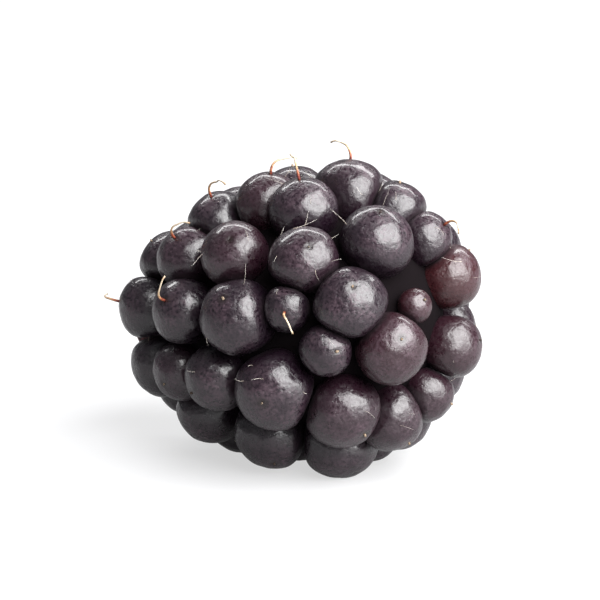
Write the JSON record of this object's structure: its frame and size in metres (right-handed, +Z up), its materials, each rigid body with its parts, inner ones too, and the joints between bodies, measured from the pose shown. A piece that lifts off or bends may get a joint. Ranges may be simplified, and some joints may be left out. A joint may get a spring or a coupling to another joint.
{
  "type": "bramble berry",
  "caption": "Ripe bramble berry lying on its side, a fused cluster of dark round drupelets with a pale stem scar and a few dried straw-brown styles.",
  "frame": {"origin": "under the middle of the part, on the surface it rests on", "axes": "+Z up, +X along the fruit towards its blunt tip, -X towards the stem scar, -Y the best side"},
  "size_m": [0.0278, 0.023, 0.0233],
  "materials": {
    "skin": "semi-gloss black-purple fruit skin",
    "style": "dry straw-brown plant thread"
  },
  "bodies": {
    "root": {"berry": "skin", "dried_style_01": "style", "dried_style_02": "style", "dried_style_03": "style", "dried_style_04": "style", "dried_style_05": "style", "dried_style_06": "style", "dried_style_07": "style", "dried_style_08": "style", "dried_style_09": "style", "dried_style_10": "style", "dried_style_11": "style", "dried_style_12": "style"}
  },
  "joints": []
}
